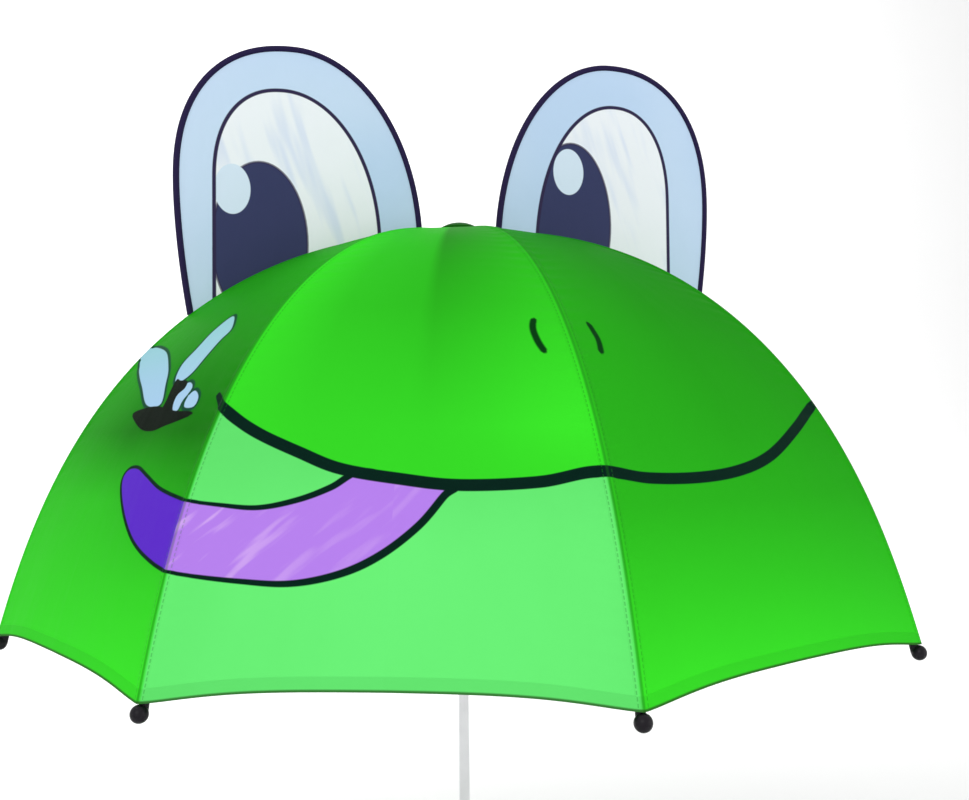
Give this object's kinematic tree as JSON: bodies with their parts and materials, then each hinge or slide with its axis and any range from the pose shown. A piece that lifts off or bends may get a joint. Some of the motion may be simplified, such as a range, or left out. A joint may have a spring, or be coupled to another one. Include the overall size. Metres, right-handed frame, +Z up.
{
  "type": "children's umbrella",
  "caption": "Open children's stick umbrella: domed cloth canopy with a printed frog face, two upright eye-shaped ears, curved ribs on struts, a runner and a hooked handle.",
  "frame": {"origin": "middle of the straight hand grip, on the shaft's axis", "axes": "+Z up the shaft towards the crown, -Y towards the front of the printed face, +X to the right as seen from the front"},
  "size_m": [0.6644, 0.6644, 0.781],
  "materials": {
    "steel_tube": "bright plated",
    "steel_wire": "plated wire",
    "green_plastic": "moulded",
    "dark_green_plastic": "moulded",
    "black_plastic": "moulded",
    "canopy_cloth": "printed woven polyester",
    "ear_cloth": "printed woven polyester over thin foam",
    "navy_binding": "folded tape",
    "washer_cloth": "woven"
  },
  "bodies": {
    "stick": {"shaft_tube": "steel_tube", "grip": "green_plastic", "grip_collar": "steel_tube", "crown": "black_plastic", "crown_wire": "steel_wire", "top_cap": "dark_green_plastic", "crown_washer": "washer_cloth"},
    "rib_0": {"rib_0": "steel_wire", "clip_0": "steel_wire", "tip_0": "black_plastic", "cover_0": "canopy_cloth"},
    "rib_1": {"rib_1": "steel_wire", "clip_1": "steel_wire", "tip_1": "black_plastic", "cover_1": "canopy_cloth"},
    "rib_2": {"rib_2": "steel_wire", "clip_2": "steel_wire", "tip_2": "black_plastic", "cover_2": "canopy_cloth", "ear_right": "ear_cloth", "ear_right_binding": "navy_binding"},
    "rib_3": {"rib_3": "steel_wire", "clip_3": "steel_wire", "tip_3": "black_plastic", "cover_3": "canopy_cloth"},
    "rib_4": {"rib_4": "steel_wire", "clip_4": "steel_wire", "tip_4": "black_plastic", "cover_4": "canopy_cloth"},
    "rib_5": {"rib_5": "steel_wire", "clip_5": "steel_wire", "tip_5": "black_plastic", "cover_5": "canopy_cloth"},
    "rib_6": {"rib_6": "steel_wire", "clip_6": "steel_wire", "tip_6": "black_plastic", "cover_6": "canopy_cloth", "ear_left": "ear_cloth", "ear_left_binding": "navy_binding"},
    "rib_7": {"rib_7": "steel_wire", "clip_7": "steel_wire", "tip_7": "black_plastic", "cover_7": "canopy_cloth"},
    "strut_0": {"strut_0": "steel_wire"},
    "strut_1": {"strut_1": "steel_wire"},
    "strut_2": {"strut_2": "steel_wire"},
    "strut_3": {"strut_3": "steel_wire"},
    "strut_4": {"strut_4": "steel_wire"},
    "strut_5": {"strut_5": "steel_wire"},
    "strut_6": {"strut_6": "steel_wire"},
    "strut_7": {"strut_7": "steel_wire"},
    "runner": {"runner": "black_plastic", "runner_wire": "steel_wire"},
    "catch_upper": {"catch_upper": "steel_wire"},
    "catch_lower": {"catch_lower": "steel_wire"},
    "strap": {"tie_strap": "canopy_cloth", "strap_snap": "steel_tube"}
  },
  "joints": [
    {"name": "fold", "type": "hinge", "parent": "stick", "child": "rib_0", "pos_m": [0, -0.01, 0.55469], "axis": [1, 0, 0], "range_deg": [0, 46.5], "deforming": ["cover_0"]},
    {"name": "rib_hinge_1", "type": "hinge", "parent": "stick", "child": "rib_1", "pos_m": [0.00707, -0.00707, 0.55469], "axis": [0.7071, 0.7071, 0], "range_deg": [0, 46.5], "deforming": ["cover_1"]},
    {"name": "rib_hinge_2", "type": "hinge", "parent": "stick", "child": "rib_2", "pos_m": [0.01, 0, 0.55469], "axis": [0, 1, 0], "range_deg": [0, 46.5], "deforming": ["cover_2"]},
    {"name": "rib_hinge_3", "type": "hinge", "parent": "stick", "child": "rib_3", "pos_m": [0.00707, 0.00707, 0.55469], "axis": [-0.7071, 0.7071, 0], "range_deg": [0, 46.5], "deforming": ["cover_3"]},
    {"name": "rib_hinge_4", "type": "hinge", "parent": "stick", "child": "rib_4", "pos_m": [0, 0.01, 0.55469], "axis": [-1, 0, 0], "range_deg": [0, 46.5], "deforming": ["cover_4"]},
    {"name": "rib_hinge_5", "type": "hinge", "parent": "stick", "child": "rib_5", "pos_m": [-0.00707, 0.00707, 0.55469], "axis": [-0.7071, -0.7071, 0], "range_deg": [0, 46.5], "deforming": ["cover_5"]},
    {"name": "rib_hinge_6", "type": "hinge", "parent": "stick", "child": "rib_6", "pos_m": [-0.01, 0, 0.55469], "axis": [0, -1, 0], "range_deg": [0, 46.5], "deforming": ["cover_6"]},
    {"name": "rib_hinge_7", "type": "hinge", "parent": "stick", "child": "rib_7", "pos_m": [-0.00707, -0.00707, 0.55469], "axis": [0.7071, -0.7071, 0], "range_deg": [0, 46.5], "deforming": ["cover_7"]},
    {"name": "strut_hinge_0", "type": "hinge", "parent": "rib_0", "child": "strut_0", "pos_m": [0, -0.18026, 0.49804], "axis": [1, 0, 0], "range_deg": [-93, 0]},
    {"name": "strut_hinge_1", "type": "hinge", "parent": "rib_1", "child": "strut_1", "pos_m": [0.12746, -0.12746, 0.49804], "axis": [0.7071, 0.7071, 0], "range_deg": [-93, 0]},
    {"name": "strut_hinge_2", "type": "hinge", "parent": "rib_2", "child": "strut_2", "pos_m": [0.18026, 0, 0.49804], "axis": [0, 1, 0], "range_deg": [-93, 0]},
    {"name": "strut_hinge_3", "type": "hinge", "parent": "rib_3", "child": "strut_3", "pos_m": [0.12746, 0.12746, 0.49804], "axis": [-0.7071, 0.7071, 0], "range_deg": [-93, 0]},
    {"name": "strut_hinge_4", "type": "hinge", "parent": "rib_4", "child": "strut_4", "pos_m": [0, 0.18026, 0.49804], "axis": [-1, 0, 0], "range_deg": [-93, 0]},
    {"name": "strut_hinge_5", "type": "hinge", "parent": "rib_5", "child": "strut_5", "pos_m": [-0.12746, 0.12746, 0.49804], "axis": [-0.7071, -0.7071, 0], "range_deg": [-93, 0]},
    {"name": "strut_hinge_6", "type": "hinge", "parent": "rib_6", "child": "strut_6", "pos_m": [-0.18026, 0, 0.49804], "axis": [0, -1, 0], "range_deg": [-93, 0]},
    {"name": "strut_hinge_7", "type": "hinge", "parent": "rib_7", "child": "strut_7", "pos_m": [-0.12746, -0.12746, 0.49804], "axis": [0.7071, -0.7071, 0], "range_deg": [-93, 0]},
    {"name": "runner_hinge", "type": "hinge", "parent": "strut_0", "child": "runner", "pos_m": [0, -0.01, 0.44139], "axis": [1, 0, 0], "range_deg": [0, 46.5]},
    {"name": "catch_upper_press", "type": "slide", "parent": "stick", "child": "catch_upper", "axis": [-1, 0, 0], "range_m": [0, 0.0016], "stiffness_N_per_m": 400},
    {"name": "catch_lower_press", "type": "slide", "parent": "stick", "child": "catch_lower", "axis": [-1, 0, 0], "range_m": [0, 0.0016], "stiffness_N_per_m": 400},
    {"name": "strap_swing", "type": "hinge", "parent": "rib_4", "child": "strap", "pos_m": [0, 0.27572, 0.41114], "axis": [-1, 0, 0], "range_deg": [-95, 0]}
  ],
  "couplings": [
    {"joint": "rib_hinge_1", "follows": "fold", "ratio": 1},
    {"joint": "rib_hinge_2", "follows": "fold", "ratio": 1},
    {"joint": "rib_hinge_3", "follows": "fold", "ratio": 1},
    {"joint": "rib_hinge_4", "follows": "fold", "ratio": 1},
    {"joint": "rib_hinge_5", "follows": "fold", "ratio": 1},
    {"joint": "rib_hinge_6", "follows": "fold", "ratio": 1},
    {"joint": "rib_hinge_7", "follows": "fold", "ratio": 1},
    {"joint": "strut_hinge_0", "follows": "fold", "ratio": -2},
    {"joint": "strut_hinge_1", "follows": "fold", "ratio": -2},
    {"joint": "strut_hinge_2", "follows": "fold", "ratio": -2},
    {"joint": "strut_hinge_3", "follows": "fold", "ratio": -2},
    {"joint": "strut_hinge_4", "follows": "fold", "ratio": -2},
    {"joint": "strut_hinge_5", "follows": "fold", "ratio": -2},
    {"joint": "strut_hinge_6", "follows": "fold", "ratio": -2},
    {"joint": "strut_hinge_7", "follows": "fold", "ratio": -2},
    {"joint": "runner_hinge", "follows": "fold", "ratio": 1}
  ]
}
